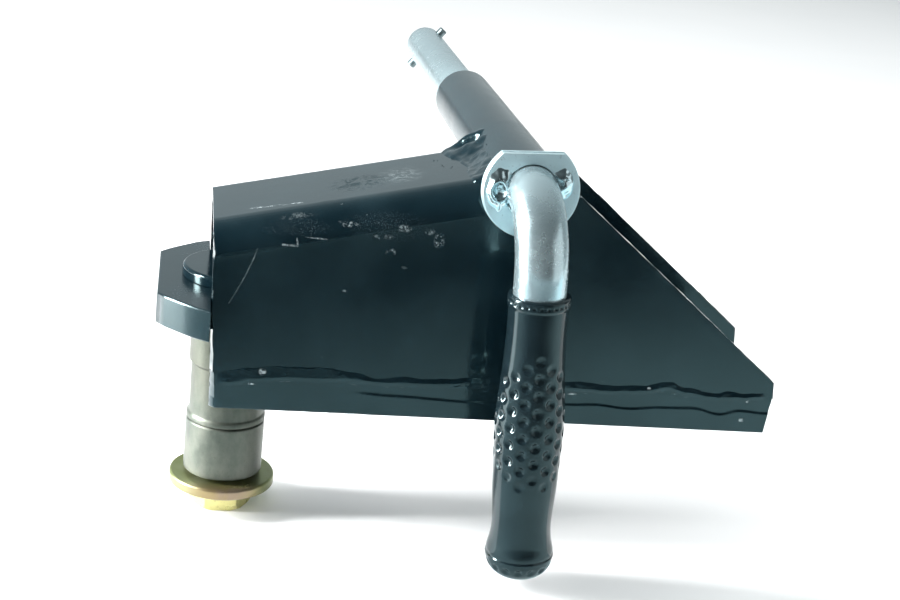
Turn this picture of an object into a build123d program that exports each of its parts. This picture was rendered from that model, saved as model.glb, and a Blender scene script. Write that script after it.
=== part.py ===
from build123d import *
import math
import os

# A welded swing arm with a sliding, turning crank and a bolted pivot post.
# Millimetres. Z is up, X runs along the arm, Y runs along the crank's shaft.
# The origin is on the pivot post's axis, at the underside of the pivot plate.

# Arm: a folded channel, open below and at the sloping right end
ARM_WIDTH = 74.0          # outside, between the two wall faces
WALL = 4.0                # sheet thickness
FOLD_R = 14.0             # outside radius of the two folds
LEFT_TOP = (-11.4, 44.8)  # (x, z) of the web's outer face at the left end
LEFT_FOOT = (-8.7, -34.0)
WEB_SLOPE = 0.232         # rise of the web per mm of x
SHOULDER = (137.0, 67.6)  # where the sloping right edge starts
RIGHT_TOP = (234.0, -9.4)
RIGHT_SEAM = (234.8, -17.0)
RIGHT_FOOT = (233.8, -34.4)
REAR_EXTRA = 5.4          # the rear wall reaches this much further right
FOOT_LEAN = 1.8           # the foot strips lean inwards by this much
SEAM_GAP = 0.05

# Crank shaft, its sleeve and the cross pin
CRANK_X, CRANK_Z = 114.5, 70.0
SLEEVE_R = 14.4
SLEEVE_BORE_R = 10.72     # 0.07 mm running clearance round the tube
SLEEVE_END = 137.0
TUBE_R = 10.65            # 21.3 mm tube
TUBE_BORE_R = 8.05
TUBE_END = 288.0
LEG_Y = -70.0             # the handle leg hangs in this plane
BEND_R = 28.0
LEG_LENGTH = 154.0
CRANK_TILT = 3.0          # degrees from straight down, at rest
PIN_R, PIN_LENGTH, PIN_Y = 2.5, 29.0, 279.0
PIN_ANGLE = 52.0          # degrees from level

# Flange on the crank and the loose plate of the same outline behind it
FLANGE_R, FLANGE_FLAT, FLANGE_HOLE_R = 20.0, 15.5, 10.95
FLANGE_FRONT, FLANGE_BACK = -41.2, -38.65
THRUST_FRONT, THRUST_BACK, THRUST_EXTRA = -38.6, -37.05, 0.3

# Grip: (distance down the leg, radius)
GRIP_TOP, COLLAR_R, COLLAR_END = 34.0, 12.7, 38.4
GRIP_BORE_R, GRIP_BORE_END = 10.75, 154.5
GRIP_PROFILE = [(40.0, 12.1), (54.0, 12.15), (70.0, 13.0), (81.0, 13.75), (91.4, 14.25),
                (105.7, 13.75), (118.0, 13.2), (128.0, 12.5), (135.0, 12.3), (140.0, 12.8),
                (148.0, 14.2), (153.4, 13.1), (157.2, 9.8), (159.6, 5.0)]
GRIP_END = 160.4

# Pivot plate: half outline (x, y) of its wide head, then the neck between the walls
PLATE_T = 13.5
HEAD_OUTLINE = [(-32.4, 28.0), (-28.8, 32.8), (-22.0, 39.8), (-17.0, 44.6), (-10.5, 48.8)]
NECK_HALF, NECK_END = 33.0, 38.0
HEAD_DISC_R, HEAD_DISC_T = 22.5, 4.8

# Pivot post, bush, washer and bolt, all on the Z axis
SPIGOT_R = 15.0
LAND_R, NECK_R, CORE_R = 17.3, 16.2, 12.5
LAND_END, NECK_BOTTOM, STEP_Z = -25.5, -48.0, -51.2
CORE_END = -77.6
BUSH_R, BUSH_BORE_R = 17.2, 12.56
BUSH_TOP, BUSH_BOTTOM = -51.6, -76.0
WASHER_R, WASHER_T, WASHER_HOLE_R = 23.1, 4.8, 8.75
BOLT_R, BOLT_DEPTH = 8.0, 36.0
HEX_AF, HEX_H = 24.0, 10.0


def web_z(x):
    """Height of the web's outer face at x."""
    return LEFT_TOP[1] + WEB_SLOPE * (x - LEFT_TOP[0])


def prism(points, y0, y1):
    """Extrude an (x, z) polygon from y0 to y1."""
    face = make_face(Polyline([(x, y0, z) for x, z in points], close=True))
    return extrude(face, y1 - y0, dir=(0, 1, 0))


def rod_y(r, y0, y1, x=CRANK_X, z=CRANK_Z):
    """Cylinder along Y."""
    return Pos(x, (y0 + y1) / 2, z) * Rot(90, 0, 0) * Cylinder(r, y1 - y0)


def rod_z(r, z0, z1):
    """Cylinder on the Z axis."""
    return Pos(0, 0, (z0 + z1) / 2) * Cylinder(r, z1 - z0)


def crank_frame(shape):
    """Turn a shape, built with its leg straight down, to the crank's rest angle."""
    return Pos(CRANK_X, 0, CRANK_Z) * Rot(0, -CRANK_TILT, 0) * shape


def left_edge(z):
    """x of the arm's slightly raked left edge at height z."""
    f = (z - LEFT_FOOT[1]) / (LEFT_TOP[1] - LEFT_FOOT[1])
    return LEFT_FOOT[0] + f * (LEFT_TOP[0] - LEFT_FOOT[0])


def arm_channel():
    """Front wall, web and rear wall, folded from one sheet and notched for the sleeve."""
    half, seam, web_end = ARM_WIDTH / 2, RIGHT_SEAM[1], CRANK_X - 10
    foot = (left_edge(seam), seam)
    block = [LEFT_TOP, (web_end, web_z(web_end)), (web_end, seam), foot]
    folded = prism(block, -half, half)
    top = [e for e in folded.edges() if abs(e.center().Y) > half - 1
           and abs(e.center().Z - web_z(e.center().X)) < 0.1 and e.length > 50]
    folded = fillet(top, FOLD_R)
    x0, x1 = LEFT_TOP[0] - 5, web_end + 5
    inside = prism([(x0, web_z(x0) - WALL), (x1, web_z(x1) - WALL), (x1, seam - 5), (x0, seam - 5)],
                   -half + WALL, half - WALL)
    top = [e for e in inside.edges() if abs(e.center().Y) > half - WALL - 1
           and abs(e.center().Z - web_z(e.center().X) + WALL) < 0.1 and e.length > 50]
    folded -= fillet(top, FOLD_R - WALL)

    def side(y0, extra):
        sx, sz = SHOULDER
        return prism([(web_end - 0.5, seam), (web_end - 0.5, sz), (sx + extra, sz),
                      (RIGHT_TOP[0] + extra, RIGHT_TOP[1]), (RIGHT_SEAM[0] + extra, seam)], y0, y0 + WALL)

    arm = folded + side(-half, 0) + side(half - WALL, REAR_EXTRA)
    return arm - rod_y(SLEEVE_R + 0.05, -half - 5, half + 5)


def foot_strip(rear):
    """Low strip that continues one wall below its seam, leaning inwards and deeper at the right."""
    half, top, low = ARM_WIDTH / 2, RIGHT_SEAM[1] - SEAM_GAP, RIGHT_FOOT[1]
    extra = REAR_EXTRA if rear else 0
    section = Polyline([(0, -half, top), (0, -half + WALL, top),
                        (0, -half + WALL + FOOT_LEAN, low), (0, -half + FOOT_LEAN, low)], close=True)
    strip = Pos(-20, 0, 0) * extrude(make_face(section), 280, dir=(1, 0, 0))
    trim = [(left_edge(top), top + 1), (RIGHT_SEAM[0] + extra, top + 1),
            (RIGHT_FOOT[0] + extra, low), LEFT_FOOT]
    strip = strip & prism(trim, -half - 5, 0)
    return mirror(strip, about=Plane.XZ) if rear else strip


def seam_weld(rear):
    """Flat bead along the outside of the seam between a wall and its foot strip."""
    half, z = ARM_WIDTH / 2, RIGHT_SEAM[1]
    lean = FOOT_LEAN * 1.9 / (z - RIGHT_FOOT[1]) - 0.03
    extra = REAR_EXTRA if rear else 0
    section = Polyline([(0, -half, z + 2.2), (0, -half - 0.9, z + 1.0), (0, -half - 0.9, z - 0.9),
                        (0, -half + lean, z - 1.9), (0, -half - 0.03, z - 0.06)], close=True)
    bead = Pos(left_edge(z) + 3, 0, 0) * extrude(make_face(section), 238 + extra, dir=(1, 0, 0))
    return mirror(bead, about=Plane.XZ) if rear else bead


def crank_sleeve():
    """Plain tube across the arm's crest that the crank slides and turns in."""
    y0 = -ARM_WIDTH / 2
    sleeve = rod_y(SLEEVE_R, y0, SLEEVE_END) - rod_y(SLEEVE_BORE_R, y0 - 1, SLEEVE_END + 1)
    ends = sleeve.edges().filter_by(GeomType.CIRCLE).filter_by(lambda e: e.radius > SLEEVE_R - 0.1)
    return chamfer(ends, 0.5)


def web_weld():
    """Heavy fillet weld between the web and the left side of the sleeve."""
    half, reach, rise = ARM_WIDTH / 2, 13.5, 11.5
    x_foot = CRANK_X - SLEEVE_R - reach
    toe = (x_foot, web_z(x_foot) + 0.05)
    tip = (CRANK_X - 8.8, CRANK_Z + rise)
    mid = (CRANK_X - SLEEVE_R - 4.2, CRANK_Z + 5.2)
    root = (CRANK_X - 10, web_z(CRANK_X - 10) + 0.05)
    y1 = half - FOLD_R + 0.5
    y0 = -y1
    bead = prism([toe, mid, tip, (CRANK_X - 6, CRANK_Z + 4), root], y0, y1)
    return bead - rod_y(SLEEVE_R + 0.05, y0 - 1, y1 + 1)


def rear_sleeve_weld():
    """Bead round the lower half of the sleeve on the rear wall's outer face, lumped up at the right."""
    y = ARM_WIDTH / 2 + 0.05
    cone = Pos(CRANK_X, y + 2.25, CRANK_Z) * Rot(-90, 0, 0) * Cone(SLEEVE_R + 5, SLEEVE_R + 1.2, 4.5)
    ring = cone - rod_y(SLEEVE_R + 0.05, y - 1, y + 6)
    keep = Pos(CRANK_X, y + 3, CRANK_Z - 12.6) * Box(60, 8, 20)
    lump = Pos(CRANK_X + 19.5, y + 1.2, CRANK_Z - 1.6) * Sphere(3.4)
    lump &= Pos(CRANK_X + 19.5, y + 4, CRANK_Z) * Box(12, 8, 12)
    return (ring & keep) + lump


def pivot_plate():
    """Thick plate with a wide faceted head outside the arm and a neck welded between the walls."""
    outline = list(HEAD_OUTLINE) + [(HEAD_OUTLINE[-1][0], NECK_HALF), (NECK_END, NECK_HALF)]
    points = outline + [(x, -y) for x, y in reversed(outline)]
    plate = extrude(make_face(Polyline([(x, y, 0) for x, y in points], close=True)), PLATE_T, dir=(0, 0, 1))
    rim = plate.edges().filter_by(Axis.Z, reverse=True).filter_by(lambda e: e.center().X < -11)
    return chamfer(rim, 0.6) - rod_z(SPIGOT_R, -1, PLATE_T + 1)


def post_head():
    """Disc that caps the post on top of the plate."""
    disc = rod_z(HEAD_DISC_R, PLATE_T, PLATE_T + HEAD_DISC_T)
    return chamfer(disc.edges().group_by(Axis.Z)[-1], 1.0)


def pivot_post():
    """Turned post: spigot in the plate, upper land, relieved neck, lower land and core for the bush."""
    half = Polyline([(0, 0, PLATE_T), (SPIGOT_R - 0.03, 0, PLATE_T), (SPIGOT_R - 0.03, 0, 0),
                     (LAND_R, 0, 0), (LAND_R, 0, LAND_END + 0.6), (NECK_R, 0, LAND_END - 0.6),
                     (NECK_R, 0, NECK_BOTTOM), (BUSH_R, 0, NECK_BOTTOM - 1.4), (BUSH_R, 0, STEP_Z),
                     (CORE_R, 0, STEP_Z), (CORE_R, 0, CORE_END), (0, 0, CORE_END)], close=True)
    post = revolve(make_face(half), Axis.Z, 360)
    return post - rod_z(BOLT_R + 0.02, CORE_END - 1, CORE_END + BOLT_DEPTH + 4)


def lower_bush():
    """Loose bush that turns on the post's core."""
    bush = rod_z(BUSH_R, BUSH_BOTTOM, BUSH_TOP) - rod_z(BUSH_BORE_R, BUSH_BOTTOM - 1, BUSH_TOP + 1)
    rims = bush.edges().filter_by(GeomType.CIRCLE).filter_by(lambda e: e.radius > BUSH_R - 0.1)
    return chamfer(rims, 0.7)


def large_washer():
    """Thick washer under the bush."""
    low = CORE_END - WASHER_T
    washer = rod_z(WASHER_R, low, CORE_END)
    return chamfer(washer.edges(), 0.7) - rod_z(WASHER_HOLE_R, low - 1, CORE_END + 1)


def pivot_bolt():
    """Hexagon-head screw from below, up into the post."""
    seat = CORE_END - WASHER_T
    hexagon = extrude(Pos(0, 0, seat) * RegularPolygon(HEX_AF / 2, 6, major_radius=False), -HEX_H)
    if min(abs(v.Y) for v in hexagon.vertices()) > 1:
        hexagon = Rot(0, 0, 30) * hexagon
    dome = Pos(0, 0, seat - HEX_H / 2) * Cylinder(13.7, HEX_H)
    head = hexagon & chamfer(dome.edges().group_by(Axis.Z)[0], 1.2)
    return head + rod_z(BOLT_R, seat - 0.5, CORE_END + BOLT_DEPTH)


def flatted_disc(radius, flat, bore, y0, y1):
    """Disc round the shaft with one flat on top and a hole, at the crank's rest angle."""
    disc = rod_y(radius, y0, y1, 0, 0) - rod_y(bore, y0 - 1, y1 + 1, 0, 0)
    return crank_frame(disc - Pos(0, y0, flat + 10) * Box(60, 20, 20))


def thrust_washer():
    """Loose plate between the flange and the sleeve's end; it rides on the tube."""
    return flatted_disc(FLANGE_R + THRUST_EXTRA, FLANGE_FLAT + THRUST_EXTRA, SLEEVE_BORE_R,
                        THRUST_FRONT, THRUST_BACK)


def tube_path():
    """Centre line of the crank: along the sleeve, round the bend, down the leg."""
    corner = LEG_Y + BEND_R
    shaft = Line((0, TUBE_END, 0), (0, corner, 0))
    middle = (0, corner - 0.70711 * BEND_R, -0.29289 * BEND_R)
    bend = ThreePointArc((0, corner, 0), middle, (0, LEG_Y, -BEND_R))
    leg = Line((0, LEG_Y, -BEND_R), (0, LEG_Y, -LEG_LENGTH))
    return shaft, bend, leg


def swept(radius):
    """Round bar of this radius along the crank's centre line."""
    shaft, bend, leg = tube_path()
    bar = sweep(Plane((0, TUBE_END, 0), z_dir=(0, -1, 0)) * Circle(radius), shaft)
    bar += sweep(Plane(bend @ 0, z_dir=bend % 0) * Circle(radius), bend)
    return bar + sweep(Plane(leg @ 0, z_dir=(0, 0, -1)) * Circle(radius), leg)


def pin_bar(radius, length):
    """Bar across the tube near its far end, in the crank's own frame."""
    return Pos(0, PIN_Y, 0) * Rot(0, 90 - PIN_ANGLE + CRANK_TILT, 0) * Cylinder(radius, length)


def crank_tube():
    """Bent tube: shaft, bend and handle leg in one piece, drilled for the cross pin."""
    return crank_frame(swept(TUBE_R) - swept(TUBE_BORE_R) - pin_bar(PIN_R, 40))


def cross_pin():
    """Pin through the tube; its ends stop the crank at the sleeve."""
    pin = pin_bar(PIN_R - 0.02, PIN_LENGTH)
    return crank_frame(chamfer(pin.edges().filter_by(GeomType.CIRCLE), 0.5))


def crank_flange():
    """Disc with one flat, welded to the tube just behind the bend."""
    return flatted_disc(FLANGE_R, FLANGE_FLAT, FLANGE_HOLE_R, FLANGE_FRONT, FLANGE_BACK)


def flange_weld(x, z, half_width, half_height, rise):
    """Faceted weld blob in the corner between the tube and the flange's front face."""
    turns = [math.radians(36 * k + 18) for k in range(10)]
    ring = [(x + half_width * math.cos(t), z + half_height * math.sin(t)) for t in turns]
    blob = prism(ring, FLANGE_FRONT - rise, FLANGE_FRONT - 0.02)
    blob = chamfer(blob.edges().group_by(Axis.Y)[0], 1.4)
    return crank_frame(blob - swept(TUBE_R + 0.02))


def grip():
    """Moulded handle grip: collar, barrel, waist and flared, closed end."""
    outer = Spline([(r, 0, -s) for s, r in GRIP_PROFILE] + [(0, 0, -GRIP_END)],
                   tangents=[(0, 0, -1), (-1, 0, 0)])
    s0, r0 = GRIP_PROFILE[0]
    rim = Polyline([(0, 0, -GRIP_END), (0, 0, -GRIP_TOP), (COLLAR_R - 0.6, 0, -GRIP_TOP),
                    (COLLAR_R, 0, -GRIP_TOP - 0.6), (COLLAR_R, 0, -COLLAR_END + 0.6),
                    (r0, 0, -COLLAR_END - 0.2), (r0, 0, -s0)])
    body = revolve(make_face(Wire([*outer.edges(), *rim.edges()])), Axis.Z, 360)
    body -= rod_z(GRIP_BORE_R, -GRIP_BORE_END, 1 - GRIP_TOP)
    return crank_frame(Pos(0, LEG_Y, 0) * body)


PARTS = {
    "arm_channel": arm_channel,
    "front_foot_strip": lambda: foot_strip(False),
    "rear_foot_strip": lambda: foot_strip(True),
    "front_seam_weld": lambda: seam_weld(False),
    "rear_seam_weld": lambda: seam_weld(True),
    "crank_sleeve": crank_sleeve,
    "web_weld": web_weld,
    "rear_sleeve_weld": rear_sleeve_weld,
    "pivot_plate": pivot_plate,
    "post_head": post_head,
    "pivot_post": pivot_post,
    "lower_bush": lower_bush,
    "large_washer": large_washer,
    "pivot_bolt": pivot_bolt,
    "thrust_washer": thrust_washer,
    "crank_tube": crank_tube,
    "crank_flange": crank_flange,
    "flange_weld_left": lambda: flange_weld(-13.4, 1.6, 5.2, 8.2, 3.4),
    "flange_weld_right": lambda: flange_weld(12.9, 3.6, 4.6, 6.8, 3.0),
    "cross_pin": cross_pin,
    "grip": grip,
}

os.makedirs("parts", exist_ok=True)
for node, build in PARTS.items():
    shape = build()
    solids = shape.solids()
    assert len(solids) == 1 and solids[0].volume > 0, (node, len(solids))
    export_step(solids[0], f"parts/{node}.step")
    box = solids[0].bounding_box()
    print(f"{node:18s} volume {solids[0].volume:10.1f}  x {box.min.X:7.1f} {box.max.X:7.1f}"
          f"  y {box.min.Y:7.1f} {box.max.Y:7.1f}  z {box.min.Z:7.1f} {box.max.Z:7.1f}")
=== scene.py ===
import math

import bmesh
import bpy
from mathutils import Matrix, Vector, noise


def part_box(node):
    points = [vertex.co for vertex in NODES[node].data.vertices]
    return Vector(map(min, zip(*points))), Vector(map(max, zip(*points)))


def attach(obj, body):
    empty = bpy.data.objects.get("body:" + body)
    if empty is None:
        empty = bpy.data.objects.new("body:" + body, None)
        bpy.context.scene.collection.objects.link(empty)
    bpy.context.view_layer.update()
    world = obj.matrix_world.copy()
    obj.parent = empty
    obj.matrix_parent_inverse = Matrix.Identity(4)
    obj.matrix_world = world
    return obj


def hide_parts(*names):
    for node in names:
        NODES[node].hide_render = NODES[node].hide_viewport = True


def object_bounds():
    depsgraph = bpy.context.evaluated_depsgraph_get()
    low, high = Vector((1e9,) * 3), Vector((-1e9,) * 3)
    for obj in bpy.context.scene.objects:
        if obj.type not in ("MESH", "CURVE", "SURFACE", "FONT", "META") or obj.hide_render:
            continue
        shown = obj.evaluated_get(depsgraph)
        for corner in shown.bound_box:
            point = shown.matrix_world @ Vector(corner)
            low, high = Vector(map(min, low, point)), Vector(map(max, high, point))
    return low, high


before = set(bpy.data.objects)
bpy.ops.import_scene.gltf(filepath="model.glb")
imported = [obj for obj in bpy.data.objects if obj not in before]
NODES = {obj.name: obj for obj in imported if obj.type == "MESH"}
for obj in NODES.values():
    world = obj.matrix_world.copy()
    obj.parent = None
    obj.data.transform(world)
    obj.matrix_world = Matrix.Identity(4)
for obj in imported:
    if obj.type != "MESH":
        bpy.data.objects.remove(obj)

CAD_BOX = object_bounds()
MM = 0.001

# ---------------------------------------------------------------- sizes, in millimetres, from the frame


def corners(node):
    """Lowest and highest corner of a CAD node, in millimetres."""
    low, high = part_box(node)
    return low / MM, high / MM


ARM_LOW, ARM_HIGH = corners("arm_channel")
HALF_WIDTH = ARM_HIGH.y
SLEEVE_LOW, SLEEVE_HIGH = corners("crank_sleeve")
SHAFT_X = (SLEEVE_LOW.x + SLEEVE_HIGH.x) / 2
SHAFT_Z = (SLEEVE_LOW.z + SLEEVE_HIGH.z) / 2
SLEEVE_R = (SLEEVE_HIGH.x - SLEEVE_LOW.x) / 2
TUBE_LOW, TUBE_HIGH = corners("crank_tube")
TUBE_R = TUBE_HIGH.z - SHAFT_Z
TUBE_WALL = 2.6
TUBE_BORE_R = TUBE_R - TUBE_WALL
BEND_R = 28.0
STRAIGHT_STEPS, BEND_STEPS, LEG_STEPS = 33, 36, 23       # stations along the tube's three stretches
LEG_Y = TUBE_LOW.y + TUBE_R
LEG_LENGTH = 154.0
CRANK_TILT = math.radians(3)
FLANGE_FRONT = corners("crank_flange")[0].y
STRIP_LOW, STRIP_HIGH = corners("front_foot_strip")
SEAM_Z = STRIP_HIGH.z
FOOT_LEAN = 1.8                            # the strips' feet lie this much further in than the walls
FOOT_RISE = 0.4                            # their lower edges are this much higher at the left
FOLD_R = 14.0                              # outer radius of the fold between web and wall
CRANK = Matrix.Translation((SHAFT_X, 0, SHAFT_Z)) @ Matrix.Rotation(-CRANK_TILT, 4, "Y")

# Grip, by distance down the leg: (distance, radius) of its body and collar, then places of what is cut in it
GRIP_PROFILE = [(40.0, 12.1), (54.0, 12.15), (70.0, 13.0), (81.0, 13.75), (91.4, 14.25),
                (105.7, 13.75), (118.0, 13.2), (128.0, 12.5), (135.0, 12.3), (140.0, 12.8),
                (147.0, 14.2), (151.6, 13.3), (155.4, 10.2), (157.6, 5.2), (158.3, 0.4)]
GRIP_TIP = GRIP_PROFILE[-1][0]
GRIP_START = GRIP_PROFILE[0][0]
COLLAR = [(36.5, 10.8), (34.0, 10.8), (34.05, 12.2), (34.4, 12.6), (35.0, 12.7)]
COLLAR += [(35.2 + 0.2 * k, 12.7) for k in range(13)] + [(38.2, 12.55), (38.6, 12.15)]
GROOVE_AT, RIDGE_AT, BULB_DIMPLES_AT = 146.4, 147.4, 151.0
COLLAR_DIMPLES_AT, COLLAR_DIMPLES = 36.4, 28
DIMPLE_COLUMNS, DIMPLE_PITCH, DIMPLE_TOP = 16, 7.2, 58.4
DIMPLE_COUNTS = [8, 8, 7, 6, 5, 4, 3]      # dimples in each column, outward from the front one

# Seam: heights of the bead's top edge and crest, and of the step in the strip below it, at places along X
BEAD_TOP = [(-6, -15.8), (7, -13.9), (17, -12.5), (38, -12.2), (48, -13.5), (61, -16.2), (71, -14.6),
            (82, -15.3), (99, -14.0), (150, -13.0), (157, -14.0), (174, -13.4), (187, -10.9), (194, -13.2),
            (208, -15.4), (214, -14.0), (223, -15.0), (233, -14.2)]
BEAD_CREST = [(-6, -21.0), (1, -20.6), (8, -18.3), (28, -17.2), (48, -16.7), (66, -17.5), (82, -17.5),
              (99, -16.3), (142, -15.8), (161, -16.6), (176, -15.9), (187, -13.8), (195, -15.8),
              (206, -17.0), (219, -16.9), (232, -15.8)]
STEP_LINE = [(50, -23.4), (68, -24.2), (99, -25.4), (143, -24.5), (156, -23.9), (170, -25.1), (186, -23.8),
             (200, -23.4), (212, -25.9), (221, -23.6), (232, -24.4)]

# Chips on the seam and the strip: (x, z, half width, half height)
NICKS = [(144.8, -19.4, 2.6, 0.5), (222.5, -28.2, 1.6, 1.2), (223.5, -18.7, 1.2, 0.8),
         (8.2, -21.6, 1.9, 0.7), (12.2, -15.6, 1.8, 1.8), (178.0, -14.6, 1.0, 0.6)]


def wobble(x, y=0.0, z=0.0, size=1.0):
    """Smooth repeatable noise from -1 to 1, with features about this size in millimetres."""
    return noise.noise(Vector((x, y, z)) / size)


def ease(t):
    """Smooth step from 0 to 1."""
    t = min(max(t, 0.0), 1.0)
    return t * t * (3 - 2 * t)


def hump(x, at, width):
    """Bell curve: 1 at its middle, fading over about its width on each side."""
    return math.exp(-((x - at) / width) ** 2)


def web_height(x):
    """Height of the web's outer face, from the arm's box and slope."""
    return ARM_WEB[0] + ARM_WEB[1] * (x - ARM_LOW.x)


def fold_drop(y):
    """How far the fold's outer skin lies below the web's plane at y."""
    out = max(0.0, abs(y) - (HALF_WIDTH - FOLD_R))
    return FOLD_R - math.sqrt(max(0.0, FOLD_R ** 2 - out ** 2))


def between(points, x):
    """Value at x on a smooth line through (x, value) points."""
    if x <= points[0][0]:
        return points[0][1]
    for (x0, v0), (x1, v1) in zip(points, points[1:]):
        if x <= x1:
            return v0 + (v1 - v0) * ease((x - x0) / (x1 - x0))
    return points[-1][1]


def find_web():
    """Height at the left end and slope of the web, from its CAD points."""
    points = [v.co / MM for v in NODES["arm_channel"].data.vertices]
    flat = [p for p in points if abs(p.y) < HALF_WIDTH - FOLD_R + 0.1]
    left = max(p.z for p in flat if p.x < ARM_LOW.x + 1)
    joint = max((p for p in flat if p.x < SHAFT_X), key=lambda p: p.z + 0.1 * p.x)
    return left, (joint.z - left) / (joint.x - ARM_LOW.x)


ARM_WEB = find_web()


# ---------------------------------------------------------------- mesh helpers


def mesh_object(name, points, faces, sharp):
    """Object from points in millimetres, shaded smooth up to an angle in degrees."""
    data = bpy.data.meshes.new(name)
    data.from_pydata([Vector(p) * MM for p in points], [], faces)
    return finish_mesh(name, data, sharp)


def finish_mesh(name, data, sharp):
    """Outward normals, smooth shading, linked into the scene."""
    shape = bmesh.new()
    shape.from_mesh(data)
    bmesh.ops.recalc_face_normals(shape, faces=shape.faces)
    shape.to_mesh(data)
    shape.free()
    for face in data.polygons:
        face.use_smooth = True
    data.set_sharp_from_angle(angle=math.radians(sharp))
    made = bpy.data.objects.new(name, data)
    bpy.context.scene.collection.objects.link(made)
    return made


def loft(name, rings, sharp):
    """Closed skin through rings of points, each ring a closed loop, with a cap on the first and the last."""
    count = len(rings[0])
    points = [p for ring in rings for p in ring]
    faces = []
    for i in range(len(rings) - 1):
        for j in range(count):
            a, b = i * count + j, i * count + (j + 1) % count
            faces.append((a, b, b + count, a + count))
    last = (len(rings) - 1) * count
    faces.append(tuple(range(count - 1, -1, -1)))
    faces.append(tuple(last + j for j in range(count)))
    return mesh_object(name, points, faces, sharp)


def place(piece, body, slot, materials, *nodes):
    """Give a piece its materials and body, and hide any CAD nodes that it stands for. Its slot is not used.
    """
    piece.data.materials.clear()
    for material in materials:
        piece.data.materials.append(material)
    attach(piece, body)
    if nodes:
        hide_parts(*nodes)


def dressed(node, name, edge, steps=2, pick=None, grid=0.0, rough=0.0, cut_face=None, reshape=None):
    """Copy of a CAD node with rounded edges. Edge faces, and faces that cut_face picks, take material 1.

    pick says which sharp edges are rounded. grid cuts the skin every so many millimetres along X and Z, so
    that reshape can bend it and rough can make its edges ragged."""
    same_point, flat_angle, sharp_angle = 2e-6, math.radians(0.4), math.radians(40)
    shape = bmesh.new()
    shape.from_mesh(NODES[node].data)
    bmesh.ops.remove_doubles(shape, verts=shape.verts, dist=same_point)
    bmesh.ops.dissolve_limit(shape, angle_limit=flat_angle, verts=shape.verts, edges=shape.edges)
    for face in shape.faces:
        middle = face.calc_center_median() / MM
        face.material_index = 1 if cut_face and cut_face(middle, face.normal) else 0
    edges = [e for e in shape.edges if len(e.link_faces) == 2 and e.calc_face_angle(0) > sharp_angle
             and (pick is None or pick((e.verts[0].co + e.verts[1].co) / 2 / MM))]
    if edge:
        bmesh.ops.bevel(shape, geom=edges, offset=edge * MM, segments=steps, profile=0.5,
                        affect="EDGES", material=1, clamp_overlap=True)
    if grid:
        low = Vector(min(v.co[i] for v in shape.verts) for i in range(3)) / MM
        high = Vector(max(v.co[i] for v in shape.verts) for i in range(3)) / MM
        for axis, normal in ((0, (1, 0, 0)), (2, (0, 0, 1))):
            for k in range(1, int((high[axis] - low[axis]) / grid)):
                at = Vector(normal) * (low[axis] + k * grid) * MM
                geometry = shape.verts[:] + shape.edges[:] + shape.faces[:]
                bmesh.ops.bisect_plane(shape, geom=geometry, dist=1e-7, plane_co=at, plane_no=normal)
    if reshape:
        for vert in shape.verts:
            vert.co = reshape(vert.co / MM) * MM
    if rough:
        for vert in shape.verts:
            if all(f.material_index == 1 for f in vert.link_faces):
                p = vert.co / MM
                shift = (wobble(p.x, p.y, p.z, 2.1), wobble(p.y, p.z, p.x, 2.3), wobble(p.z, p.x, p.y, 2.2))
                vert.co += Vector(shift) * rough * MM
    data = bpy.data.meshes.new(name)
    shape.to_mesh(data)
    shape.free()
    made = finish_mesh(name, data, sharp=38)
    flat = made.modifiers.new("flat_faces", "WEIGHTED_NORMAL")
    flat.keep_sharp = True
    return made


# ---------------------------------------------------------------- material helpers


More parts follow.
